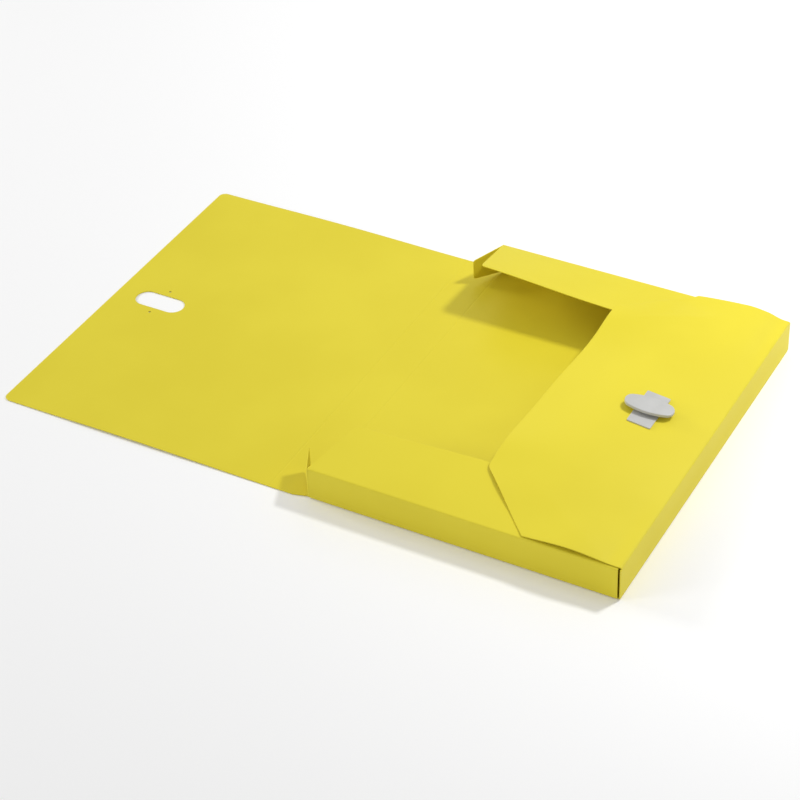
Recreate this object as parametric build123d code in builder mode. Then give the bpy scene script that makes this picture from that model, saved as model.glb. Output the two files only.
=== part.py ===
"""Box file for A4 papers: one die-cut and creased sheet of polypropylene, with a turning clip.

The sheet lies open. The cover and the spine strip are flat on the table to the left, and the
base carries a near, a far and a fore-edge wall. Each wall carries a flap that is folded in over
the papers. The fore-edge flap lies on top of the two side flaps and carries the clip, whose oval
head goes through the slot in the cover and turns a quarter to lock it.

Millimetres. X runs from the spine to the fore edge, Y from the near to the far side, +Z is up.
The origin is on the table, under the middle of the open file.
"""

import os
from math import cos, degrees, radians, sin, tan

from build123d import *

os.makedirs("parts", exist_ok=True)

# Sheet and creases
sheet = 0.8
crease_gap = 0.25
corner_gap = 1.5

# Box
box_length = 324
box_width = 254
box_height = 29.2
lap_step = 1.2

# Spine strip and cover
spine_width = 31.6
cover_width = 244
cover_overhang = 2
cover_corner_radius = 6
closed_cover_rise = 1
spine_step_start = 11
spine_step_end = 3

# Side flaps
side_flap_depth = 60
near_flap_rise = 4
far_flap_rise = 7.8
flap_taper = 8
flap_corner_radius = 5
flap_end_inset = 8
flap_end_slope = 32

# Fore-edge flap
lap_length = 130.6
lap_root_rise = 11.2
lap_tip_rise = 0.4
lap_press = 4.5
lap_side_inset = 1.5
lap_chamfer = 53
lap_corner_radius = 12

# Tabs at the spine ends of the side walls
tab_length = 30
tab_splay = 27
tab_crease_inset = 1.6
tab_top_taper = 3
tab_bottom_taper = 4.8
tab_corner_radius = 2

# Clip
clip_distance = 50.7
bar_length = 39
bar_width = 19
bar_thickness = 1.0
bar_corner_radius = 0.8
neck_diameter = 8
neck_clearance = 0.3
back_plate_length = 32
back_plate_width = 15
back_plate_thickness = 1.0
back_plate_gap = 0.06
peg_spacing = 24
peg_diameter = 3
head_length = 38.5
head_width = 18
head_end_radius = 7
head_thickness = 2.2
head_edge_radius = 0.7
head_gap = 2.6
head_turn = 7
washer_diameter = 12
washer_thickness = 0.8
detent_spacing = 31.5
detent_diameter = 1.6
detent_height = 0.5

# Slot in the cover
slot_length = 45
slot_width = 19.6
detent_clearance = 0.3

# Places worked out from the sizes above
half_sheet = sheet / 2
edge_offset = half_sheet + crease_gap
spine_x = (cover_width + spine_width - box_width) / 2
cover_crease_x = spine_x - spine_width
fore_x = spine_x + box_width - half_sheet
side_y = box_length / 2 - half_sheet
lap_crease_z = box_height - half_sheet
side_crease_z = lap_crease_z - lap_step
wall_start_x = spine_x + tab_crease_inset
wall_end_x = fore_x - half_sheet - corner_gap
lap_turn = radians(lap_root_rise - lap_tip_rise)
lap_radius = lap_length / lap_turn
lap_root_angle = 90 - lap_root_rise
clip_rise = lap_root_rise - degrees(clip_distance / lap_radius)
pressed_rise = (lap_root_rise + clip_rise) / 2 - lap_press
clip_reach = box_width - half_sheet - clip_distance * cos(radians(pressed_rise))
slot_distance = clip_reach / cos(radians(closed_cover_rise))
head_end_x = head_length / 2 - head_end_radius
head_bulge = head_width / 2 - head_end_radius
head_side_radius = (head_end_x**2 + head_width**2 / 4 - head_end_radius**2) / (2 * head_bulge)


def save(piece, name):
    """Label a finished piece and write it."""
    piece.part.label = name
    export_step(piece.part, f"parts/{name}.step")


def side_flap_plane(side, rise):
    """Mid plane of a side flap: its origin is on the crease and its Y runs towards the far side."""
    return Plane(
        origin=(0, side * side_y, side_crease_z),
        x_dir=(1, 0, 0),
        z_dir=(0, side * sin(radians(rise)), cos(radians(rise))),
    )


def clip_plane(height=0.0):
    """Plane along the fore-edge flap at the clip, a height above the flap's upper face."""
    angle = radians(90 - clip_rise)
    root = radians(lap_root_angle)
    reach = lap_radius + half_sheet + height
    return Plane(
        origin=(
            fore_x - lap_radius * cos(root) + reach * cos(angle),
            0,
            lap_crease_z - lap_radius * sin(root) + reach * sin(angle),
        ),
        x_dir=(sin(angle), 0, -cos(angle)),
        z_dir=(cos(angle), 0, sin(angle)),
    )


# Base panel
with BuildPart() as base_panel:
    with BuildSketch():
        with Locations(((spine_x + fore_x) / 2, 0)):
            Rectangle(fore_x - spine_x - 2 * edge_offset, 2 * (side_y - edge_offset))
    extrude(amount=sheet)
save(base_panel, "base_panel")

# Spine strip, as long as the cover on its left and as long as the box on its right
with BuildPart() as spine_panel:
    spine_left = cover_crease_x + edge_offset
    spine_right = spine_x - edge_offset
    cover_edge = box_length / 2 + cover_overhang
    with BuildSketch():
        with BuildLine():
            Polyline(
                (spine_left, 0),
                (spine_left, cover_edge),
                (spine_x - spine_step_start, cover_edge),
                (spine_x - spine_step_end, side_y),
                (spine_right, side_y),
                (spine_right, 0),
            )
            mirror(about=Plane.XZ)
        make_face()
    extrude(amount=sheet)
save(spine_panel, "spine_panel")

# Cover, with the slot for the clip's head and a small hole for each of the head's detents
with BuildPart() as cover_panel:
    cover_left = cover_crease_x - cover_width
    cover_right = cover_crease_x - edge_offset
    with BuildSketch() as cover_outline:
        with Locations(((cover_left + cover_right) / 2, 0)):
            Rectangle(cover_right - cover_left, 2 * cover_edge)
        fillet(cover_outline.vertices().group_by(Axis.X)[0], cover_corner_radius)
        with Locations((cover_crease_x - slot_distance, 0)):
            SlotOverall(slot_length, slot_width, mode=Mode.SUBTRACT)
            with GridLocations(0, detent_spacing, 1, 2):
                Circle(detent_diameter / 2 + detent_clearance, mode=Mode.SUBTRACT)
    extrude(amount=sheet)
save(cover_panel, "cover_panel")

# Creases that run along Y, each a thin round web on the axis of its fold
long_creases = {
    "cover_crease": (cover_crease_x, half_sheet, cover_edge),
    "spine_crease": (spine_x, half_sheet, side_y - edge_offset),
    "fore_wall_crease": (fore_x, half_sheet, side_y - edge_offset),
    "fore_flap_crease": (fore_x, lap_crease_z, box_length / 2 - lap_side_inset),
}
for name, (x, z, half_length) in long_creases.items():
    with BuildPart() as long_crease:
        with BuildSketch(Plane.XZ):
            with Locations((x, z)):
                Circle(half_sheet)
        extrude(amount=half_length, both=True)
    save(long_crease, name)

# Fore-edge wall
with BuildPart() as fore_wall:
    with BuildSketch(Plane.YZ.offset(fore_x - half_sheet)):
        with Locations((0, (lap_crease_z + half_sheet) / 2)):
            Rectangle(box_length, lap_crease_z - half_sheet - 2 * edge_offset)
    extrude(amount=sheet)
save(fore_wall, "fore_wall")

# Side walls, with their creases and flaps, and the tabs that close the corners at the spine
for side, name, rise in ((-1, "near", near_flap_rise), (1, "far", far_flap_rise)):
    wall_left = wall_start_x + edge_offset
    wall_low = half_sheet + edge_offset
    wall_high = side_crease_z - edge_offset

    with BuildPart() as side_wall:
        with BuildSketch(Plane.XZ.offset(-side * side_y - half_sheet)):
            with Locations(((wall_left + wall_end_x) / 2, (wall_low + wall_high) / 2)):
                Rectangle(wall_end_x - wall_left, wall_high - wall_low)
        extrude(amount=sheet)
    save(side_wall, f"{name}_wall")

    for crease, z in (("wall_crease", half_sheet), ("flap_crease", side_crease_z)):
        with BuildPart() as side_crease:
            with BuildSketch(Plane.YZ.offset(wall_left)):
                with Locations((side * side_y, z)):
                    Circle(half_sheet)
            extrude(amount=wall_end_x - wall_left)
        save(side_crease, f"{name}_{crease}")

    # The hidden end of the flap is cut on a slant, so that it stays under the fore-edge flap
    with BuildPart() as side_flap:
        slant_top = wall_end_x - flap_end_inset
        slant_run = (side_flap_depth - edge_offset) / tan(radians(flap_end_slope))
        with BuildSketch(side_flap_plane(side, rise)) as flap_outline:
            with BuildLine():
                Polyline(
                    (wall_left, -side * edge_offset),
                    (wall_left + flap_taper, -side * side_flap_depth),
                    (slant_top - slant_run, -side * side_flap_depth),
                    (slant_top, -side * edge_offset),
                    close=True,
                )
            make_face()
            free_edge = flap_outline.vertices().group_by(Axis.Y)[0 if side > 0 else -1]
            fillet(free_edge, flap_corner_radius)
        extrude(amount=half_sheet, both=True)
    save(side_flap, f"{name}_flap")

    with BuildPart() as tab_crease:
        with BuildSketch(Plane.XY.offset(wall_low)):
            with Locations((wall_start_x, side * side_y)):
                Circle(half_sheet)
        extrude(amount=wall_high - wall_low)
    save(tab_crease, f"{name}_tab_crease")

    tab_plane = Plane(
        origin=(wall_start_x, side * side_y, 0),
        x_dir=(-sin(radians(tab_splay)), -side * cos(radians(tab_splay)), 0),
        z_dir=(-side * cos(radians(tab_splay)), sin(radians(tab_splay)), 0),
    )
    with BuildPart() as corner_tab:
        with BuildSketch(tab_plane) as tab_outline:
            with BuildLine():
                Polyline(
                    (edge_offset, wall_low),
                    (edge_offset, wall_high),
                    (tab_length, wall_high - tab_top_taper),
                    (tab_length, wall_low + tab_bottom_taper),
                    close=True,
                )
            make_face()
            fillet(tab_outline.vertices().group_by(Axis.X)[-1], tab_corner_radius)
        extrude(amount=half_sheet, both=True)
    save(corner_tab, f"{name}_tab")

# Fore-edge flap, a gentle arch over the two side flaps, with cut-off corners and the clip's holes
with BuildPart() as fore_flap:
    half_flap = box_length / 2 - lap_side_inset
    lap_centre = (
        fore_x - lap_radius * cos(radians(lap_root_angle)),
        lap_crease_z - lap_radius * sin(radians(lap_root_angle)),
    )
    root_skip = degrees(edge_offset / lap_radius)
    with BuildSketch(Plane.XZ):
        with BuildLine():
            start = lap_root_angle + root_skip
            turn = degrees(lap_turn) - root_skip
            upper = CenterArc(lap_centre, lap_radius + half_sheet, start, turn)
            lower = CenterArc(lap_centre, lap_radius - half_sheet, start, turn)
            Line(upper @ 0, lower @ 0)
            Line(upper @ 1, lower @ 1)
        make_face()
    extrude(amount=half_flap, both=True)
    with BuildSketch() as lap_outline:
        tip_x = (upper @ 1).X
        with BuildLine():
            Polyline(
                (fore_x, 0),
                (fore_x, half_flap),
                (tip_x + lap_chamfer, half_flap),
                (tip_x, half_flap - lap_chamfer),
                (tip_x, 0),
            )
            mirror(about=Plane.XZ)
        make_face()
        fillet(lap_outline.vertices().group_by(Axis.X)[0], lap_corner_radius)
    extrude(amount=2 * box_height, mode=Mode.INTERSECT)
    with BuildSketch(clip_plane()):
        Circle(neck_diameter / 2 + neck_clearance)
        with GridLocations(0, peg_spacing, 1, 2):
            Circle(peg_diameter / 2)
    extrude(amount=2 * sheet, both=True, mode=Mode.SUBTRACT)
save(fore_flap, "fore_flap")

# Clip bar, riveted on top of the fore-edge flap
with BuildPart() as clip_bar:
    with BuildSketch(clip_plane()) as bar_outline:
        Rectangle(bar_width, bar_length)
        fillet(bar_outline.vertices(), bar_corner_radius)
        Circle(neck_diameter / 2 + neck_clearance, mode=Mode.SUBTRACT)
        with GridLocations(0, peg_spacing, 1, 2):
            Circle(peg_diameter / 2, mode=Mode.SUBTRACT)
    extrude(amount=bar_thickness)
save(clip_bar, "clip_bar")

# Back plate under the flap
with BuildPart() as clip_back_plate:
    with BuildSketch(clip_plane(-sheet - back_plate_gap)) as plate_outline:
        Rectangle(back_plate_width, back_plate_length)
        fillet(plate_outline.vertices(), bar_corner_radius)
        Circle(neck_diameter / 2 + neck_clearance, mode=Mode.SUBTRACT)
        with GridLocations(0, peg_spacing, 1, 2):
            Circle(peg_diameter / 2, mode=Mode.SUBTRACT)
    extrude(amount=-back_plate_thickness)
save(clip_back_plate, "clip_back_plate")

# Two pegs that hold the bar and the back plate together through the flap
with BuildPart() as clip_pegs:
    with BuildSketch(clip_plane(bar_thickness)):
        with GridLocations(0, peg_spacing, 1, 2):
            Circle(peg_diameter / 2)
    extrude(amount=-(bar_thickness + sheet + back_plate_gap + back_plate_thickness))
save(clip_pegs, "clip_pegs")

# Turning head: a blunt oval cap on a round neck, with two detents under the cap
with BuildPart() as clip_head:
    head_low = bar_thickness + head_gap
    neck_low = -sheet - back_plate_gap - back_plate_thickness - neck_clearance
    head_plane = clip_plane(head_low).rotated((0, 0, head_turn))
    with BuildSketch(head_plane):
        reach = head_side_radius / (head_side_radius - head_end_radius)
        end_x = reach * head_end_x
        end_y = (reach - 1) * (head_side_radius - head_width / 2)
        with BuildLine():
            ThreePointArc((-end_x, end_y), (0, head_width / 2), (end_x, end_y))
            ThreePointArc((end_x, end_y), (head_length / 2, 0), (end_x, -end_y))
            ThreePointArc((end_x, -end_y), (0, -head_width / 2), (-end_x, -end_y))
            ThreePointArc((-end_x, -end_y), (-head_length / 2, 0), (-end_x, end_y))
        make_face()
    extrude(amount=head_thickness)
    head_top = clip_head.faces().sort_by(Axis(clip_plane().origin, clip_plane().z_dir))[-1]
    fillet(head_top.edges(), head_edge_radius)
    with BuildSketch(clip_plane(head_low)):
        Circle(neck_diameter / 2)
    extrude(amount=neck_low - washer_thickness - head_low)
    with BuildSketch(head_plane):
        with GridLocations(detent_spacing, 0, 2, 1):
            Circle(detent_diameter / 2)
    extrude(amount=-detent_height)
save(clip_head, "clip_head")

# Washer that is snapped on the lower end of the neck
with BuildPart() as clip_washer:
    with BuildSketch(clip_plane(neck_low)):
        Circle(washer_diameter / 2)
        Circle(neck_diameter / 2, mode=Mode.SUBTRACT)
    extrude(amount=-washer_thickness)
save(clip_washer, "clip_washer")
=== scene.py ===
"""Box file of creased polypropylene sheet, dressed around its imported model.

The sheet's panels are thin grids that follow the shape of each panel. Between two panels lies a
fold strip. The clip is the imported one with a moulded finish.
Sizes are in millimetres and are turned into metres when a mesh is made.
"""

import math

import bpy
import numpy as np
from mathutils import Matrix, Vector


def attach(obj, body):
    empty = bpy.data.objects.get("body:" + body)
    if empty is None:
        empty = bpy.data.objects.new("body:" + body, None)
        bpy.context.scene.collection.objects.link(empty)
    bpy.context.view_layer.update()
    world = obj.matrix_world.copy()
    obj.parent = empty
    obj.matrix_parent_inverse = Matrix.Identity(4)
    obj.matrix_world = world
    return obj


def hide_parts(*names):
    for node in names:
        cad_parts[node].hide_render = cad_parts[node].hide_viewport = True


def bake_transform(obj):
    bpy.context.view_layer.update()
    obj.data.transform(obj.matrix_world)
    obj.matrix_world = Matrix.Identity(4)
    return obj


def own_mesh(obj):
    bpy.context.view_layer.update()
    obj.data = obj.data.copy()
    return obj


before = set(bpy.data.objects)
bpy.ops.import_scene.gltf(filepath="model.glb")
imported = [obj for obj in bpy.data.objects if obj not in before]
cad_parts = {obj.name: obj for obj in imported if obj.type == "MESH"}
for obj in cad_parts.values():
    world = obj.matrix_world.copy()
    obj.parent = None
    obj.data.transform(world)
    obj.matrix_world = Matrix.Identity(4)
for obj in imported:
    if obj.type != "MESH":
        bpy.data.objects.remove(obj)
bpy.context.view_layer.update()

MM = 0.001

# Sheet and its folds
SHEET = 0.8
HALF = SHEET / 2
FOLD_RADIUS = 0.9
FOLD_LEG = 1.3
FOLD_PIVOT = 0.8
FOLD_TRIM = 0.6
FLAT_FOLD = 1.6
FLAT_PIVOT = 1.0
GROOVE_DEPTH = 0.12
GROOVE_HALF = 0.6

# Box and cover, with the places of their creases
BOX_LENGTH = 324.0
BOX_WIDTH = 254.0
BOX_HEIGHT = 29.2
SPINE_WIDTH = 31.6
COVER_WIDTH = 244.0
COVER_OVERHANG = 2.0
SPINE_X = (COVER_WIDTH + SPINE_WIDTH - BOX_WIDTH) / 2
COVER_X = SPINE_X - SPINE_WIDTH
COVER_LEFT = COVER_X - COVER_WIDTH
FORE_X = SPINE_X + BOX_WIDTH - HALF
SIDE_Y = BOX_LENGTH / 2 - HALF
COVER_Y = BOX_LENGTH / 2 + COVER_OVERHANG
LAP_STEP = 1.2
LAP_Z = BOX_HEIGHT - HALF
SIDE_Z = LAP_Z - LAP_STEP
COVER_CORNER = 6.0
COVER_LIFT = 1.1
COVER_FINE_TO = 8.0
SPINE_STEP_START = 11.0
SPINE_STEP_END = 3.0
SPINE_STEP_Y = SIDE_Y + 0.2

# Walls
WALL_START = SPINE_X + 1.6
WALL_END = FORE_X - 1.9
WALL_GAP = 0.65
WALL_FINE_TO = 1.5
SIDE_WALL_HOLLOW = 0.2
FORE_WALL_HOLLOW = 0.25

# Side flaps, with their rise in degrees and where along X it changes
FLAP_DEPTH = 60.0
FLAP_LEAST = 0.8
FLAP_TAPER = 8.0
FLAP_TAPER_STEPS = (0.0, 0.6, 1.4, 2.4, 3.6, 4.8, 6.0, 7.0, 7.6, 8.0)
FLAP_CORNER = 5.0
FLAP_ROUND_PART = 0.985
FLAP_ROUND_DROP = 0.83
FLAP_FINE_TO = 6.0
FLAP_END = 254.5
FLAP_END_GAP = 0.5
FLAP_SLOPE = 32.0
NEAR_RISE = 0.3
NEAR_RISE_GAIN = 5.2
NEAR_RISE_SPAN = (10, 150)
FAR_RISE = 17.2
FAR_RISE_LOSS = 6.3
FAR_RISE_SPAN = (10, 145)
FAR_TWIST = 1.4
FAR_TWIST_SPAN = (120, 200)
STRIP_RISE_X = 150
PRESSED_RISE = 5.5
UNFOLDED_RISE = 4.0

# Fore-edge flap: spans are lengths from its crease, reaches are distances from its middle
LAP_LENGTH = 130.6
LAP_HALF = BOX_LENGTH / 2 - 1.5
LAP_CHAMFER = 53.0
LAP_CHAMFER_ANGLE = math.radians(45)
LAP_CORNER = 12.0
LAP_TIP_ZONE = 4.0
LAP_TIP_FINE = 3.6
LAP_ROOT_RISE = 11.2
LAP_TIP_RISE = 0.4
ROOT_SPAN = (0, 18)
CLIP_ZONE_END = 66.0
TIP_SPREAD = 10.0
TIP_PLACES = (-107, -95, -81, -72, -62, -37, 0, 54, 75, 90, 101, 108)
TIP_HEIGHTS = (5.6, 7.2, 10.0, 9.8, 8.7, 6.6, 5.2, 4.6, 6.6, 9.2, 11.8, 11.4)
TIP_SLOPE = 0.10
NEAR_LIFT = -0.1
NEAR_REACH = (52, 150)
NEAR_TIP_SPAN = (95, 130)
SLIT_HEIGHT = 2.6
SLIT_SPAN = (0, 84)
SLIT_REACH = (110, 160)
FAR_CLEARANCE = 0.12
FAR_REACH = (62, 150)
CROWN_SPREAD = 5.0
CROWN_PLACES = (0, 5.5, 16, 31, 44, 61, 72, 80, 95, 131)
CROWN_HEIGHTS = (0.0, 1.2, 3.4, 5.5, 4.7, 3.4, 2.2, 1.1, 0.7, 0.6)
CROWN_POWER = 4
FAR_GAP = 1.5
FAR_GAP_SPAN = (80, 118)
FAR_GAP_REACH = (112, 138)
FLAP_HIDDEN_START = 9.0
EDGE_SLANT = 4.0
SLANT_SPAN = (70, LAP_LENGTH)
SLANT_REACH = (-10, 105)

# Tabs
TAB_LENGTH = 30.0
TAB_SPLAY = 27.0
TAB_TOP = SIDE_Z - WALL_GAP
TAB_BOTTOM = HALF + WALL_GAP
TAB_MIDDLE = 14.0
TAB_TOP_TAPER = 3.0
TAB_BOTTOM_TAPER = 4.8
TAB_CORNER = 2.0
TAB_CORNER_GAP = 0.2
TAB_START = 1.0
TAB_FOLD_HALF = 1.25
TAB_FOLD_PIVOT = 0.5

# Slot in the cover and the heights between which it is cut
SLOT_X = COVER_X - 203.1
SLOT_LENGTH = 45.0
SLOT_WIDTH = 19.6
DETENT_SPACING = 31.5
DETENT_HOLE = 2.2
CUT_LOW = -3.0
CUT_HIGH = 5.0

# Mesh
RIM = (0.0, 0.04, 0.12, 0.26, 0.4)
RIM_SHARE = (0.30, 0.62, 0.84, 0.97, 1.0)
RIM_REACH = 0.4
SLOPE_STEP = 0.05
SHARP_ANGLE = math.radians(50)
RIGHT_ANGLE = math.pi / 2

# Sheet finish
SHEET_DEEP = (0.735, 0.620, 0.030)
SHEET_LIGHT = (0.765, 0.650, 0.035)
SHEET_RUBBED = (0.805, 0.695, 0.072)
SHEET_ROUGHNESS = 0.47
SHEET_SPECULAR = 0.28
SHEET_BUMP = 0.12
SHEET_BUMP_DEPTH = 0.0001
RUB_STRETCH = (30.0, 260.0, 60.0)

# Clip finish
CLIP_DEEP = (0.50, 0.50, 0.485)
CLIP_LIGHT = (0.55, 0.55, 0.535)
CLIP_MARK = (0.62, 0.62, 0.60)
CLIP_ROUGHNESS = 0.34
CLIP_IOR = 1.5
CLIP_BUMP = 0.10
CLIP_BUMP_DEPTH = 0.00006
MARK_STRETCH = (900.0, 160.0, 400.0)

# Floor in metres, lights in watts, camera in metres with its lens and sensor in millimetres
FLOOR_SIZE = 14.0
FLOOR_DROP = 0.0003
FLOOR_PALE = (0.97, 0.97, 0.97, 1)
FLOOR_ROUGHNESS = 0.9
KEY_POWER = 5.6
FAR_POWER = 0.45
SIDE_POWER = 19.0
CORNER_POWER = 10.5
ROOM_STRENGTH = 0.535
CAMERA_PLACE = (0.7393, -1.2785, 1.12408)
CAMERA_RIGHT = (0.878766, 0.475972, -0.034939)
CAMERA_UP = (-0.268608, 0.553774, 0.788152)
CAMERA_FORWARD = (-0.394487, 0.683217, -0.614488)
CAMERA_LENS = 105.65
CAMERA_SENSOR = 36


# Shader maths


class Wire:
    """A shader socket with Python's arithmetic."""

    def __init__(self, tree, socket):
        self.tree = tree
        self.socket = socket

    def node(self, kind, settings=None, **inputs):
        """Add a node, set it up, join its inputs and return it."""
        made = self.tree.nodes.new(kind)
        for name, value in (settings or {}).items():
            setattr(made, name, value)
        for name, value in inputs.items():
            key = int(name[1:]) if name[0] == "i" and name[1:].isdigit() else name.replace("_", " ")
            target = made.inputs[key]
            if isinstance(value, Wire):
                self.tree.links.new(value.socket, target)
            else:
                target.default_value = value
        return made

    def maths(self, operation, *values):
        """Add a Math node for an operation on values and wires."""
        inputs = {f"i{n}": value for n, value in enumerate(values)}
        made = self.node("ShaderNodeMath", {"operation": operation}, **inputs)
        return Wire(self.tree, made.outputs[0])

    def __add__(self, other):
        return self.maths("ADD", self, other)

    def __mul__(self, other):
        return self.maths("MULTIPLY", self, other)

    __radd__ = __add__
    __rmul__ = __mul__

    def ramp(self, low, high):
        """0 below low, 1 above high, smooth between them."""
        made = self.node(
            "ShaderNodeMapRange", {"interpolation_type": "SMOOTHSTEP"},
            Value=self, From_Min=low, From_Max=high,
        )
        return Wire(self.tree, made.outputs["Result"])

    def mix(self, first, second):
        """Colour between two colours by this value.

        The colours of a Mix node are its inputs 6 and 7 and its output 2.
        """
        made = self.node("ShaderNodeMix", {"data_type": "RGBA"}, Factor=self)
        for index, colour in ((6, first), (7, second)):
            if isinstance(colour, Wire):
                self.tree.links.new(colour.socket, made.inputs[index])
            else:
                made.inputs[index].default_value = (*colour, 1)
        return Wire(self.tree, made.outputs[2])


def new_material(name):
    """A material with its tree, its surface shader and the object's coordinates."""
    material = bpy.data.materials.new(name)
    material.use_nodes = True
    tree = material.node_tree
    shader = tree.nodes["Principled BSDF"]
    place = tree.nodes.new("ShaderNodeTexCoord")
    return material, tree, shader, Wire(tree, place.outputs["Object"])


def noise(place, scale, detail, rough=0.5):
    """Cloudy values from 0 to 1."""
    made = place.node(
        "ShaderNodeTexNoise", Vector=place, Scale=scale, Detail=detail, Roughness=rough,
    )
    return Wire(place.tree, made.outputs["Fac"])


def stretched(place, scale):
    """Coordinates with a scale of their own for each axis."""
    made = place.node("ShaderNodeMapping", Vector=place, Scale=scale)
    return Wire(place.tree, made.outputs[0])


def bumped(place, height, strength, distance):
    """A normal that follows a height."""
    made = place.node("ShaderNodeBump", Strength=strength, Distance=distance, Height=height)
    return Wire(place.tree, made.outputs[0])


def sheet_material():
    """Satin polypropylene: fine grain, faint cloudy stress and rub marks."""
    material, tree, shader, place = new_material("satin_sheet")
    cloud = noise(place, 9.0, 3.0).ramp(0.35, 0.7)
    grain = noise(place, 1500.0, 2.0, 0.6)
    speckle = noise(place, 420.0, 3.0, 0.6)
    rub = noise(stretched(place, RUB_STRETCH), 1.0, 4.0, 0.65).ramp(0.62, 0.8)
    body = cloud.mix(SHEET_DEEP, SHEET_LIGHT)
    worn = (rub * 0.10).mix(body, SHEET_RUBBED)
    rough = speckle * 0.10 + rub * 0.06 + SHEET_ROUGHNESS
    tree.links.new(worn.socket, shader.inputs["Base Color"])
    tree.links.new(rough.socket, shader.inputs["Roughness"])
    height = grain * 0.7 + speckle * 0.3
    relief = bumped(place, height, SHEET_BUMP, SHEET_BUMP_DEPTH)
    tree.links.new(relief.socket, shader.inputs["Normal"])
    shader.inputs["Specular IOR Level"].default_value = SHEET_SPECULAR
    return material


def clip_material():
    """Light grey moulded plastic with a fine spark-eroded grain and faint handling marks."""
    material, tree, shader, place = new_material("moulded_grey")
    cloud = noise(place, 60.0, 3.0).ramp(0.3, 0.75)
    grain = noise(place, 2600.0, 2.0, 0.6)
    marks = noise(stretched(place, MARK_STRETCH), 1.0, 4.0, 0.7).ramp(0.6, 0.8)
    body = cloud.mix(CLIP_DEEP, CLIP_LIGHT)
    worn = (marks * 0.12).mix(body, CLIP_MARK)
    rough = marks * 0.12 + cloud * 0.05 + CLIP_ROUGHNESS
    relief = bumped(place, grain, CLIP_BUMP, CLIP_BUMP_DEPTH)
    tree.links.new(worn.socket, shader.inputs["Base Color"])
    tree.links.new(rough.socket, shader.inputs["Roughness"])
    tree.links.new(relief.socket, shader.inputs["Normal"])
    shader.inputs["IOR"].default_value = CLIP_IOR
    return material


sheet_finish = sheet_material()
clip_finish = clip_material()


# Sheet meshes


def rim_thickness(distance):
    """Share of the sheet's thickness that is left near a cut edge."""
    return np.interp(distance, RIM, RIM_SHARE)


def smooth_mesh(name, points, faces):
    """An object from points in millimetres, smooth but for its sharp edges."""
    mesh = bpy.data.meshes.new(name)
    mesh.from_pydata((np.asarray(points) * MM).tolist(), [], faces)
    mesh.validate()
    mesh.shade_smooth()
    mesh.set_sharp_from_angle(angle=SHARP_ANGLE)
    piece = bpy.data.objects.new(name, mesh)
    bpy.context.scene.collection.objects.link(piece)
    return piece


def sheet_line(width, columns, rim_low, rim_high):
    """Places across a sheet of some width, closer together where its edges are cut."""
    line = np.linspace(0, 1, columns) * width
    near = [d for d in RIM if d < width * RIM_REACH]
    inner_from = len(near) if rim_low else 0
    inner_to = columns - len(near) if rim_high else columns
    inner_low = near[-1] if rim_low else 0.0
    inner_high = width - near[-1] if rim_high else width
    inner = np.linspace(inner_low, inner_high, inner_to - inner_from + rim_low + rim_high)
    if rim_low:
        line[: len(near)] = near
    if rim_high:
        line[columns - len(near):] = width - np.array(near[::-1])
    line[inner_from:inner_to] = inner[int(rim_low): len(inner) - int(rim_high)]
    return line


def sheet_faces(rows, columns):
    """Faces of a closed sheet: its upper and lower side and its four edges."""
    base = rows * columns
    last_row, last_column = rows - 1, columns - 1
    faces = []

    def at(i, j, side=0):
        """Point of row i and column j, on the upper side or, for side 1, on the lower."""
        return side * base + i * columns + j

    for i in range(last_row):
        for j in range(last_column):
            faces.append((at(i, j), at(i + 1, j), at(i + 1, j + 1), at(i, j + 1)))
            faces.append((at(i, j, 1), at(i, j + 1, 1), at(i + 1, j + 1, 1), at(i + 1, j, 1)))
    for i in range(last_row):
        faces.append((at(i, 0), at(i, 0, 1), at(i + 1, 0, 1), at(i + 1, 0)))
        faces.append((
            at(i, last_column), at(i + 1, last_column),
            at(i + 1, last_column, 1), at(i, last_column, 1),
        ))
    for j in range(last_column):
        faces.append((at(0, j), at(0, j + 1), at(0, j + 1, 1), at(0, j, 1)))
        faces.append((
            at(last_row, j), at(last_row, j, 1),
            at(last_row, j + 1, 1), at(last_row, j + 1),
        ))
    return faces


def thin_sheet(name, rows, sides, place, rims, columns, pressed=None):
    """A closed thin sheet over a grid.

    rows are the values of u, sides(u) gives the lowest and highest v there, and place(u, v) the
    point on the middle of the sheet. rims says which edges are cut: low u, high u, low v, high v.
    pressed(u, v) is how far the upper face is pressed in.
    """
    rows = np.asarray(rows, float)
    grid_u, grid_v, thick = [], [], []
    for u in rows:
        low, high = sides(u)
        width = high - low
        line = sheet_line(width, columns, rims[2], rims[3])
        share_left = np.ones(columns)
        for cut_edge, distance in zip(rims, (u - rows[0], rows[-1] - u, line, width - line)):
            if cut_edge:
                share_left = np.minimum(share_left, rim_thickness(distance))
        grid_u.append(np.full(columns, u))
        grid_v.append(low + line)
        thick.append(share_left)
    grid_u, grid_v, thick = map(np.array, (grid_u, grid_v, thick))
    middle = place(grid_u, grid_v)
    along_u = place(grid_u + SLOPE_STEP, grid_v) - place(grid_u - SLOPE_STEP, grid_v)
    along_v = place(grid_u, grid_v + SLOPE_STEP) - place(grid_u, grid_v - SLOPE_STEP)
    normal = np.cross(along_u, along_v)
    normal /= np.linalg.norm(normal, axis=-1, keepdims=True)
    offset = normal * thick[..., None] * HALF
    upper, lower = middle + offset, middle - offset
    if pressed:
        upper = upper - normal * pressed(grid_u, grid_v)[..., None]
    points = np.vstack([upper.reshape(-1, 3), lower.reshape(-1, 3)])
    piece = smooth_mesh(name, points, sheet_faces(len(rows), columns))
    piece.data.materials.append(sheet_finish)
    return piece


def dressed(piece, body, node):
    """Let a sheet piece ride on one body and stand for its node."""
    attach(piece, body)
    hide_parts(node)


def hinged(piece, start, end, node):
    """Bake a fold strip's place into its mesh and let it stand for its crease."""
    [x * MM for x in start]
    [x * MM for x in end]
    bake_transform(piece)
    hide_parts(node)


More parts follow.
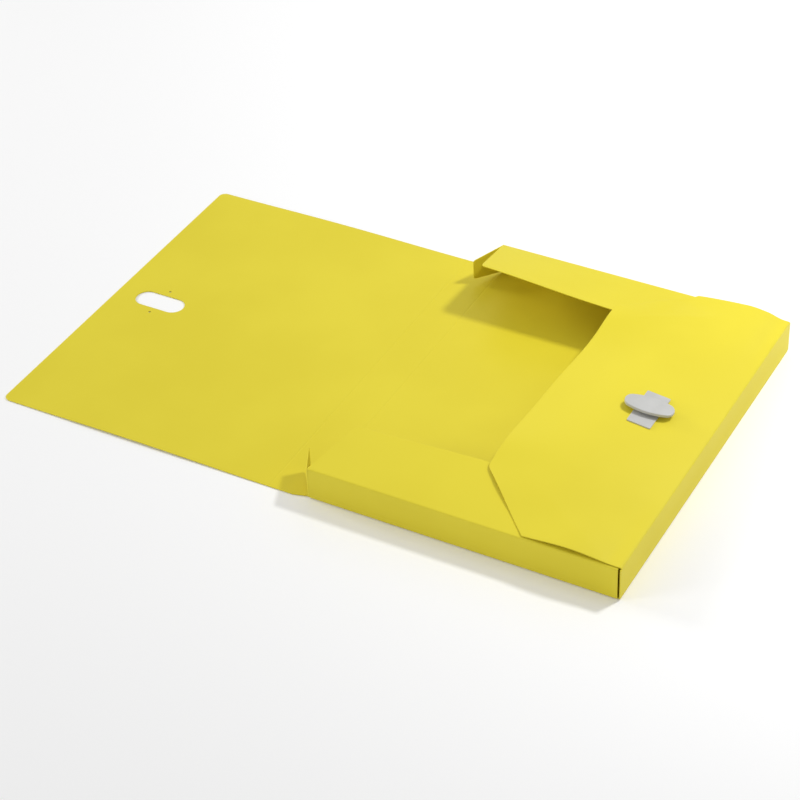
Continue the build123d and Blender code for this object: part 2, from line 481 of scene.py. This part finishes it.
def point(x, y, z):
    """One array of points from three coordinates."""
    x, y, z = np.broadcast_arrays(x, y, z)
    return np.stack([x, y, z], axis=-1).astype(float)


def swell(value, low, high):
    """0 at and beyond both ends, 1 in the middle."""
    t = np.clip((value - low) / (high - low), 0, 1)
    return np.sin(math.pi * t) ** 2


def eased(value, low, high):
    """0 below low, 1 above high, smooth between them."""
    t = np.clip((value - low) / (high - low), 0, 1)
    return t * t * (3 - 2 * t)


# Folds


def bent_section(s, bend):
    """Place on a fold's cross-section, for length s along it from the middle of the fold.

    Gives the way along the first panel's direction and across it, for a fold at the origin that
    turns by bend from the first panel's line to the second's.
    """
    radius = FOLD_RADIUS
    half_arc = radius * bend / 2
    reach = radius * np.tan(bend / 2)
    angle = np.clip((s + half_arc) / radius, 0, bend)
    along = -reach + radius * np.sin(angle) + np.minimum(s + half_arc, 0)
    across = radius * (1 - np.cos(angle))
    beyond = np.maximum(s - half_arc, 0)
    return along + beyond * np.cos(bend), across + beyond * np.sin(bend)


def fold_rows(bend, count=11):
    """Lengths along a fold's cross-section, up to a leg's length on both sides of the fold."""
    reach = FOLD_RADIUS * math.tan(bend / 2)
    half = FOLD_RADIUS * bend / 2 + FOLD_LEG - reach
    return np.linspace(-half, half, count)


# Base, spine strip and cover


def flat(u, v):
    """u and v are the place along X and Y."""
    return point(u, v, HALF)


base_left, base_right = SPINE_X + FLAT_FOLD, FORE_X - FOLD_LEG
base_side = SIDE_Y - FOLD_LEG
base = thin_sheet(
    "base_sheet",
    np.linspace(base_left, base_right, 24),
    lambda u: (-base_side, base_side),
    flat,
    rims=(False, False, False, False),
    columns=24,
)
dressed(base, "base", "base_panel")


def groove(centre):
    """How deep a flat fold is pressed in from above, around its crease at centre."""
    return lambda u, v: GROOVE_DEPTH * np.exp(-(((u - centre) / GROOVE_HALF) ** 2))


def spine_edge(u):
    """How far the spine strip reaches to the side: as long as the cover, then stepped in."""
    step_from, step_to = SPINE_X - SPINE_STEP_START, SPINE_X - SPINE_STEP_END
    share = min(max((u - step_from) / (step_to - step_from), 0), 1)
    return COVER_Y + (SPINE_STEP_Y - COVER_Y) * share


spine = thin_sheet(
    "spine_sheet",
    sorted({
        *np.linspace(COVER_X + FLAT_FOLD, SPINE_X - FLAT_FOLD, 20).tolist(),
        SPINE_X - SPINE_STEP_START,
        SPINE_X - SPINE_STEP_END,
    }),
    lambda u: (-spine_edge(u), spine_edge(u)),
    flat,
    rims=(False, False, True, True),
    columns=40,
)
dressed(spine, "spine", "spine_panel")

for name, x, half_length, body_a, body_b, node in (
    ("spine_fold_strip", SPINE_X, SIDE_Y - FOLD_TRIM, "base", "spine", "spine_crease"),
    ("cover_fold_strip", COVER_X, COVER_Y, "spine", "cover", "cover_crease"),
):
    strip = thin_sheet(
        name,
        np.linspace(x - FLAT_FOLD, x + FLAT_FOLD, 17),
        lambda u, half_length=half_length: (-half_length, half_length),
        flat,
        rims=(False, False, True, True),
        columns=60,
        pressed=groove(x),
    )
    hinged(strip, (x + FLAT_PIVOT, 0, HALF), (x - FLAT_PIVOT, 0, HALF), node)


def cover_edge(u):
    """Half length of the cover, rounded at its two free corners."""
    from_corner = u - COVER_LEFT
    if from_corner >= COVER_CORNER:
        return COVER_Y
    return COVER_Y - COVER_CORNER + math.sqrt(
        max(COVER_CORNER**2 - (COVER_CORNER - from_corner) ** 2, 0.0)
    )


def round_end(radius, step, first=0):
    """Distances from the end of a rounded corner, by turns of step degrees."""
    return [radius * (1 - math.cos(math.radians(a))) for a in range(first, 91, step)]


cover_rows = sorted({
    *[COVER_LEFT + d for d in round_end(COVER_CORNER, 9)],
    *[COVER_LEFT + d for d in RIM],
    *np.linspace(COVER_LEFT + COVER_FINE_TO, COVER_X - FLAT_FOLD, 60).tolist(),
})


def cover_place(u, v):
    """The cover lies flat, and its near and far edges lift a hair in their middle."""
    side = np.abs(v) / COVER_Y
    lift = COVER_LIFT * swell(u, COVER_LEFT, COVER_X) * side**4
    return point(u, v, HALF + lift)


cover = thin_sheet(
    "cover_sheet",
    cover_rows,
    lambda u: (-cover_edge(u), cover_edge(u)),
    cover_place,
    rims=(True, False, True, True),
    columns=90,
)


def prism(name, outline):
    """A tool that cuts an outline through the cover."""
    count = len(outline)
    points = [(x, y, z) for z in (CUT_LOW, CUT_HIGH) for x, y in outline]
    faces = [tuple(range(count))[::-1], tuple(range(count, 2 * count))]
    faces += [(i, (i + 1) % count, (i + 1) % count + count, i + count) for i in range(count)]
    return smooth_mesh(name, points, faces)


def obround(x, y, length, width, count=24):
    """Outline of a slot with round ends that lies along X."""
    radius = width / 2
    reach = length / 2 - radius
    outline = []
    for end, start in ((reach, -90), (-reach, 90)):
        for n in range(count + 1):
            a = math.radians(start + 180 * n / count)
            outline.append((x + end + radius * math.cos(a), y + radius * math.sin(a)))
    return outline


def ring(x, y, diameter, count=20):
    """Outline of a round hole."""
    return [
        (x + diameter / 2 * math.cos(2 * math.pi * n / count),
         y + diameter / 2 * math.sin(2 * math.pi * n / count))
        for n in range(count)
    ]


def cut(piece, *cutters):
    """Cut openings out of a piece and drop the cutters."""
    for cutter in cutters:
        modifier = piece.modifiers.new("opening", "BOOLEAN")
        modifier.operation = "DIFFERENCE"
        modifier.solver = "EXACT"
        modifier.object = cutter
    graph = bpy.context.evaluated_depsgraph_get()
    done = bpy.data.meshes.new_from_object(piece.evaluated_get(graph))
    piece.modifiers.clear()
    old, piece.data = piece.data, done
    done.name = piece.name
    bpy.data.meshes.remove(old)
    for cutter in cutters:
        bpy.data.objects.remove(cutter)
    done.shade_smooth()
    done.set_sharp_from_angle(angle=SHARP_ANGLE)


cut(
    cover,
    prism("slot_cutter", obround(SLOT_X, 0, SLOT_LENGTH, SLOT_WIDTH)),
    prism("near_hole_cutter", ring(SLOT_X, -DETENT_SPACING / 2, DETENT_HOLE)),
    prism("far_hole_cutter", ring(SLOT_X, DETENT_SPACING / 2, DETENT_HOLE)),
)
dressed(cover, "cover", "cover_panel")


# Walls


def fore_wall_place(u, v):
    """u is the height and v the place along Y."""
    hollow = FORE_WALL_HOLLOW * swell(u, 0, LAP_Z) * swell(v, -SIDE_Y, SIDE_Y)
    return point(FORE_X - hollow, v, u)


fore_wall = thin_sheet(
    "fore_wall_sheet",
    np.linspace(HALF + FOLD_LEG, LAP_Z - FOLD_LEG, 10),
    lambda u: (-BOX_LENGTH / 2, BOX_LENGTH / 2),
    fore_wall_place,
    rims=(False, False, True, True),
    columns=48,
)
dressed(fore_wall, "fore_wall", "fore_wall")


def fore_wall_fold_place(u, v):
    """u is the way round the fold, from the base up, and v the place along Y."""
    along, across = bent_section(u, RIGHT_ANGLE)
    return point(FORE_X + along, v, HALF + across)


strip = thin_sheet(
    "fore_wall_fold_strip",
    fold_rows(RIGHT_ANGLE),
    lambda u: (-SIDE_Y + FOLD_TRIM, SIDE_Y - FOLD_TRIM),
    fore_wall_fold_place,
    rims=(False, False, True, True),
    columns=48,
)
hinged(
    strip,
    (FORE_X - FOLD_PIVOT, 0, HALF), (FORE_X, 0, HALF + FOLD_PIVOT),
    "fore_wall_crease",
)


def side_wall_place(side):
    """Where a side wall lies, for side -1 the near one and for 1 the far one."""
    def place(u, v):
        """u is the place along X and v the height."""
        hollow = SIDE_WALL_HOLLOW * swell(v, 0, SIDE_Z) * swell(u, WALL_START, WALL_END)
        return point(u, side * (SIDE_Y - hollow), v)
    return place


def side_fold_place(side):
    """Where the fold below a side wall lies."""
    def place(u, v):
        """u is the place along X and v the way round the fold, from the base up."""
        along, across = bent_section(v, RIGHT_ANGLE)
        return point(u, side * (SIDE_Y + along), HALF + across)
    return place


wall_left = WALL_START + WALL_GAP


def wall_rows(count):
    """Places along a side wall, closer together at its two cut ends."""
    inner = np.linspace(wall_left + WALL_FINE_TO, WALL_END - WALL_FINE_TO, count).tolist()
    return sorted({wall_left + d for d in RIM} | {WALL_END - d for d in RIM} | set(inner))


fold_half = fold_rows(RIGHT_ANGLE)[-1]
for side, name in ((-1, "near"), (1, "far")):
    wall = thin_sheet(
        f"{name}_wall_sheet",
        wall_rows(50),
        lambda u: (HALF + FOLD_LEG, SIDE_Z - FOLD_LEG),
        side_wall_place(side),
        rims=(True, True, False, False),
        columns=9,
    )
    dressed(wall, f"{name}_wall", f"{name}_wall")
    strip = thin_sheet(
        f"{name}_wall_fold_strip",
        wall_rows(40),
        lambda u: (-fold_half, fold_half),
        side_fold_place(side),
        rims=(True, True, False, False),
        columns=11,
    )
    hinged(
        strip,
        (0, side * (SIDE_Y - FOLD_PIVOT), HALF), (0, side * SIDE_Y, HALF + FOLD_PIVOT),
        f"{name}_wall_crease",
    )


# Side flaps


def side_rise(side):
    """How far a side flap springs up, in radians, at a place along X."""
    if side < 0:
        return lambda x: np.radians(NEAR_RISE + NEAR_RISE_GAIN * eased(x, *NEAR_RISE_SPAN))
    return lambda x: np.radians(
        FAR_RISE
        - FAR_RISE_LOSS * eased(x, *FAR_RISE_SPAN)
        - FAR_TWIST * eased(x, *FAR_TWIST_SPAN)
    )


def side_flap_place(side):
    """Where a side flap lies."""
    rise = side_rise(side)

    def place(u, v):
        """u is the place along X and v the way in from the crease."""
        angle = rise(u)
        return point(u, side * (SIDE_Y - v * np.cos(angle)), SIDE_Z + v * np.sin(angle))
    return place


def side_flap_fold_place(side):
    """Where the fold beside a side flap lies."""
    rise = side_rise(side)

    def place(u, v):
        """u is the place along X and v the way round the fold, from the wall up."""
        along, across = bent_section(v, RIGHT_ANGLE - rise(u))
        return point(u, side * (SIDE_Y - across), SIDE_Z + along)
    return place


def side_flap_depth(u):
    """How deep a side flap is at a place along X.

    It is straight, with a short taper at the spine end, a rounded free corner there and a
    slanted end under the fore-edge flap.
    """
    depth = min(FLAP_DEPTH, (FLAP_END - u) * math.tan(math.radians(FLAP_SLOPE)))
    rounded_from = wall_left + FLAP_TAPER + FLAP_CORNER
    if u < rounded_from:
        t = (rounded_from - u) / FLAP_CORNER
        if t < FLAP_ROUND_PART:
            depth = FLAP_DEPTH - FLAP_CORNER * (1 - math.sqrt(max(1 - t * t, 0)))
        else:
            taper_end = rounded_from - FLAP_ROUND_PART * FLAP_CORNER
            share = (u - wall_left) / (taper_end - wall_left)
            depth = (FLAP_DEPTH - FLAP_CORNER * FLAP_ROUND_DROP) * max(share, 0)
    return depth


flap_start = wall_left + FLAP_TAPER
flap_rows = sorted({
    *[wall_left + d for d in FLAP_TAPER_STEPS],
    *[flap_start + d for d in round_end(FLAP_CORNER, 10, 10)],
    *np.linspace(flap_start + FLAP_FINE_TO, FLAP_END - FLAP_END_GAP, 70).tolist(),
})
for side, name in ((-1, "near"), (1, "far")):
    flap = thin_sheet(
        f"{name}_flap_sheet",
        flap_rows,
        lambda u: (FOLD_LEG, max(side_flap_depth(u), FOLD_LEG + FLAP_LEAST)),
        side_flap_place(side),
        rims=(True, True, False, True),
        columns=34,
    )
    dressed(flap, f"{name}_flap", f"{name}_flap")
    bend = RIGHT_ANGLE - float(side_rise(side)(STRIP_RISE_X))
    strip = thin_sheet(
        f"{name}_flap_fold_strip",
        wall_rows(50),
        lambda u, half=fold_rows(bend)[-1]: (-half, half),
        side_flap_fold_place(side),
        rims=(True, True, False, False),
        columns=11,
    )
    hinged(
        strip,
        (0, side * SIDE_Y, SIDE_Z - FOLD_PIVOT), (0, side * (SIDE_Y - FOLD_PIVOT), SIDE_Z),
        f"{name}_flap_crease",
    )

# The far and near flap sheets each get a mesh of their own
for side, name, joint, rise in (
    (1, "far_flap_sheet", "cover_fold", math.radians(PRESSED_RISE)),
    (-1, "near_flap_sheet", "fore_wall_fold", math.radians(UNFOLDED_RISE)),
):
    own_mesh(bpy.data.objects[name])


# Fore-edge flap

lap_turn = math.radians(LAP_ROOT_RISE - LAP_TIP_RISE)
lap_radius = LAP_LENGTH / lap_turn


def lap_profile(s):
    """Plan and height of the arch at a length s from the crease."""
    start = math.radians(90 - LAP_ROOT_RISE)
    angle = start + s / lap_radius
    return (
        lap_radius * (np.cos(angle) - math.cos(start)),
        lap_radius * (np.sin(angle) - math.sin(start)),
    )


def through(value, places, heights, spread):
    """A line through the given heights at their places, smoothed over a spread to both sides."""
    shifts = np.linspace(-spread, spread, 9)
    return sum(np.interp(value + shift, places, heights) for shift in shifts) / len(shifts)


def lap_middle(s, tip):
    """Height of the flap's middle: the arch up to the clip, then a sag towards the free edge."""
    run = LAP_LENGTH - CLIP_ZONE_END
    past = np.clip((s - CLIP_ZONE_END) / run, 0, 1)
    zone_top = float(lap_profile(CLIP_ZONE_END)[1])
    zone_slope = math.tan(math.radians(LAP_ROOT_RISE) - CLIP_ZONE_END / lap_radius)
    sag = (
        zone_top
        + zone_slope * run * (past - 2 * past**2 + past**3)
        + (tip - zone_top) * (3 * past**2 - 2 * past**3)
        + TIP_SLOPE * run * (past**2 - past**3)
    )
    return np.where(s > CLIP_ZONE_END, sag, lap_profile(s)[1])


def lap_height(s, v):
    """Height of the flap over its crease, at a length s from it and a place v along Y.

    At both sides the flap rests on the side flap below it, on the near side with a slit beside
    the wall, and on the far side with a crown beside the crease.
    """
    tip = through(v, TIP_PLACES, TIP_HEIGHTS, TIP_SPREAD)
    x = FORE_X + lap_profile(s)[0]
    below = np.clip((s - FLAP_HIDDEN_START) * math.tan(math.radians(FLAP_SLOPE)), 0, None)
    from_side = np.minimum(np.maximum(SIDE_Y - np.abs(v), 0), below)
    slit = SLIT_HEIGHT * swell(s, *SLIT_SPAN) * eased(-v, *SLIT_REACH)
    near = NEAR_LIFT + from_side * np.sin(side_rise(-1)(x)) + slit
    near = near + eased(s, *NEAR_TIP_SPAN) * np.maximum(tip - near, 0)
    rest = from_side * np.sin(side_rise(1)(x)) + SIDE_Z - LAP_Z + SHEET + FAR_CLEARANCE
    crown = through(s, CROWN_PLACES, CROWN_HEIGHTS, CROWN_SPREAD)
    powers = np.maximum(rest, 0) ** CROWN_POWER + crown**CROWN_POWER
    far = np.power(powers, 1 / CROWN_POWER)
    far = far + FAR_GAP * swell(s, *FAR_GAP_SPAN) * eased(v, *FAR_GAP_REACH)
    start = eased(s, *ROOT_SPAN)
    near_share, far_share = eased(-v, *NEAR_REACH), eased(v, *FAR_REACH)
    middle = lap_middle(s, tip) * (1 - near_share - far_share)
    return middle + near * start * near_share + far * start * far_share


def lap_place(u, v):
    """u is the length from the crease and v the place along Y."""
    along = lap_profile(u)[0]
    slant = EDGE_SLANT * eased(v, *SLANT_REACH) * eased(u, *SLANT_SPAN)
    return point(FORE_X + along + slant, v, LAP_Z + lap_height(u, v))


def lap_half(u):
    """Half width of the fore-edge flap at a length from the crease."""
    full_to = LAP_LENGTH - LAP_CHAMFER
    tip_half = LAP_HALF - LAP_CHAMFER
    if u <= full_to:
        return LAP_HALF
    straight = LAP_HALF - (u - full_to)
    reach = LAP_CORNER * math.tan(LAP_CHAMFER_ANGLE / 2)
    corner_from = LAP_LENGTH - reach * math.cos(LAP_CHAMFER_ANGLE)
    if u < corner_from:
        return straight
    down = LAP_CORNER - (LAP_LENGTH - u)
    return tip_half - reach + math.sqrt(max(LAP_CORNER**2 - down**2, 0))


lap_rows = sorted({
    *np.linspace(FOLD_LEG, LAP_LENGTH - LAP_CHAMFER, 34).tolist(),
    *np.linspace(LAP_LENGTH - LAP_CHAMFER, LAP_LENGTH - LAP_TIP_ZONE, 30).tolist(),
    *np.linspace(LAP_LENGTH - LAP_TIP_FINE, LAP_LENGTH, 16).tolist(),
    *[LAP_LENGTH - d for d in RIM],
})
lap = thin_sheet(
    "fore_flap_sheet",
    lap_rows,
    lambda u: (-lap_half(u), lap_half(u)),
    lap_place,
    rims=(False, True, True, True),
    columns=100,
)
dressed(lap, "fore_flap", "fore_flap")


def lap_fold_place(u, v):
    """u is the way round the fold, from the wall up, and v the place along Y."""
    rise = np.arctan2(lap_height(np.full_like(v, FOLD_LEG), v), FOLD_LEG)
    along, across = bent_section(u, RIGHT_ANGLE - rise)
    return point(FORE_X - across, v, LAP_Z + along)


strip = thin_sheet(
    "fore_flap_fold_strip",
    fold_rows(RIGHT_ANGLE - math.radians(LAP_ROOT_RISE)),
    lambda u: (-LAP_HALF, LAP_HALF),
    lap_fold_place,
    rims=(False, False, True, True),
    columns=60,
)
hinged(
    strip,
    (FORE_X, 0, LAP_Z - FOLD_PIVOT), (FORE_X - FOLD_PIVOT, 0, LAP_Z),
    "fore_flap_crease",
)


# Tabs


def tab_place(side):
    """Where a tab lies."""
    splay = math.radians(TAB_SPLAY)

    def place(u, v):
        """u is the way out from the crease and v the height."""
        return point(
            WALL_START - u * math.sin(splay), side * (SIDE_Y - u * math.cos(splay)), v
        )
    return place


def tab_sides(u):
    """Lowest and highest place of a tab at a length from its crease."""
    share = u / TAB_LENGTH
    low, high = TAB_BOTTOM + TAB_BOTTOM_TAPER * share, TAB_TOP - TAB_TOP_TAPER * share
    corner = max(u - (TAB_LENGTH - TAB_CORNER), 0) / TAB_CORNER
    inset = TAB_CORNER * (1 - math.sqrt(max(1 - corner * corner, 0)))
    return low + inset, high - inset


tab_rows = sorted({
    *np.linspace(TAB_START, TAB_LENGTH - TAB_CORNER - TAB_CORNER_GAP, 16).tolist(),
    *[TAB_LENGTH - TAB_CORNER * (1 - math.sin(math.radians(a))) for a in range(0, 91, 9)],
})
for side, name in ((-1, "near"), (1, "far")):
    tab = thin_sheet(
        f"{name}_tab_sheet",
        tab_rows,
        tab_sides,
        tab_place(side),
        rims=(False, True, True, True),
        columns=16,
    )
    dressed(tab, f"{name}_tab", f"{name}_tab")
    turn = math.radians(90 - TAB_SPLAY)

    def tab_fold_place(u, v, side=side, turn=turn):
        """u is the way round the fold, from the wall to the tab, and v the height."""
        along, across = bent_section(u, turn)
        return point(WALL_START - along, side * (SIDE_Y - across), v)

    strip = thin_sheet(
        f"{name}_tab_fold_strip",
        np.linspace(-TAB_FOLD_HALF, TAB_FOLD_HALF, 11),
        lambda u: (TAB_BOTTOM, TAB_TOP),
        tab_fold_place,
        rims=(False, False, True, True),
        columns=16,
    )
    hinged(
        strip,
        (WALL_START + FOLD_PIVOT, side * SIDE_Y, TAB_MIDDLE),
        (WALL_START - TAB_FOLD_PIVOT, side * (SIDE_Y - FOLD_PIVOT), TAB_MIDDLE),
        f"{name}_tab_crease",
    )


# Clip

for name in ("clip_bar", "clip_back_plate", "clip_pegs", "clip_head", "clip_washer"):
    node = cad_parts[name]
    node.data.materials.clear()
    node.data.materials.append(clip_finish)


# Floor, light and camera

floor_mesh = bpy.data.meshes.new("floor")
floor_corners = [
    (x * FLOOR_SIZE / 2, y * FLOOR_SIZE / 2, -FLOOR_DROP)
    for x, y in ((-1, -1), (1, -1), (1, 1), (-1, 1))
]
floor_mesh.from_pydata(floor_corners, [], [(0, 1, 2, 3)])
floor = bpy.data.objects.new("floor", floor_mesh)
bpy.context.scene.collection.objects.link(floor)
floor_finish, _, floor_shader, _ = new_material("pale_floor")
floor_shader.inputs["Base Color"].default_value = FLOOR_PALE
floor_shader.inputs["Roughness"].default_value = FLOOR_ROUGHNESS
floor_mesh.materials.append(floor_finish)


def area_light(name, place, target, size, power):
    """A square light that the camera doesn't see."""
    lamp = bpy.data.lights.new(name, "AREA")
    lamp.shape = "RECTANGLE"
    lamp.size = lamp.size_y = size
    lamp.energy = power
    holder = bpy.data.objects.new(name, lamp)
    bpy.context.scene.collection.objects.link(holder)
    way = Vector(target) - Vector(place)
    holder.location = place
    holder.rotation_euler = way.to_track_quat("-Z", "Y").to_euler()
    holder.visible_camera = False


area_light("key_light", (0.53, 0.37, 0.80), (0.53, 0.37, 0.0), 0.12, KEY_POWER)
area_light("far_light", (-0.30, 0.70, 0.50), (-0.30, 0.70, 0.0), 0.30, FAR_POWER)
area_light("side_light", (-2.36, 0.0, 1.10), (0.0, 0.0, 0.0), 0.7, SIDE_POWER)
area_light("corner_light", (-1.67, -1.67, 1.10), (0.0, 0.0, 0.0), 0.7, CORNER_POWER)

world = bpy.data.worlds.new("soft_room")
bpy.context.scene.world = world
world.use_nodes = True
world.node_tree.nodes["Background"].inputs["Color"].default_value = (1, 1, 1, 1)
world.node_tree.nodes["Background"].inputs["Strength"].default_value = ROOM_STRENGTH

camera_data = bpy.data.cameras.new("photo_camera")
camera_data.sensor_width = CAMERA_SENSOR
camera_data.lens = CAMERA_LENS
camera = bpy.data.objects.new("photo_camera", camera_data)
bpy.context.scene.collection.objects.link(camera)
axes = Matrix((CAMERA_RIGHT, CAMERA_UP, [-x for x in CAMERA_FORWARD])).transposed()
camera.matrix_world = Matrix.Translation(CAMERA_PLACE) @ axes.to_4x4()
bpy.context.scene.camera = camera
bpy.context.scene.view_settings.view_transform = "Standard"
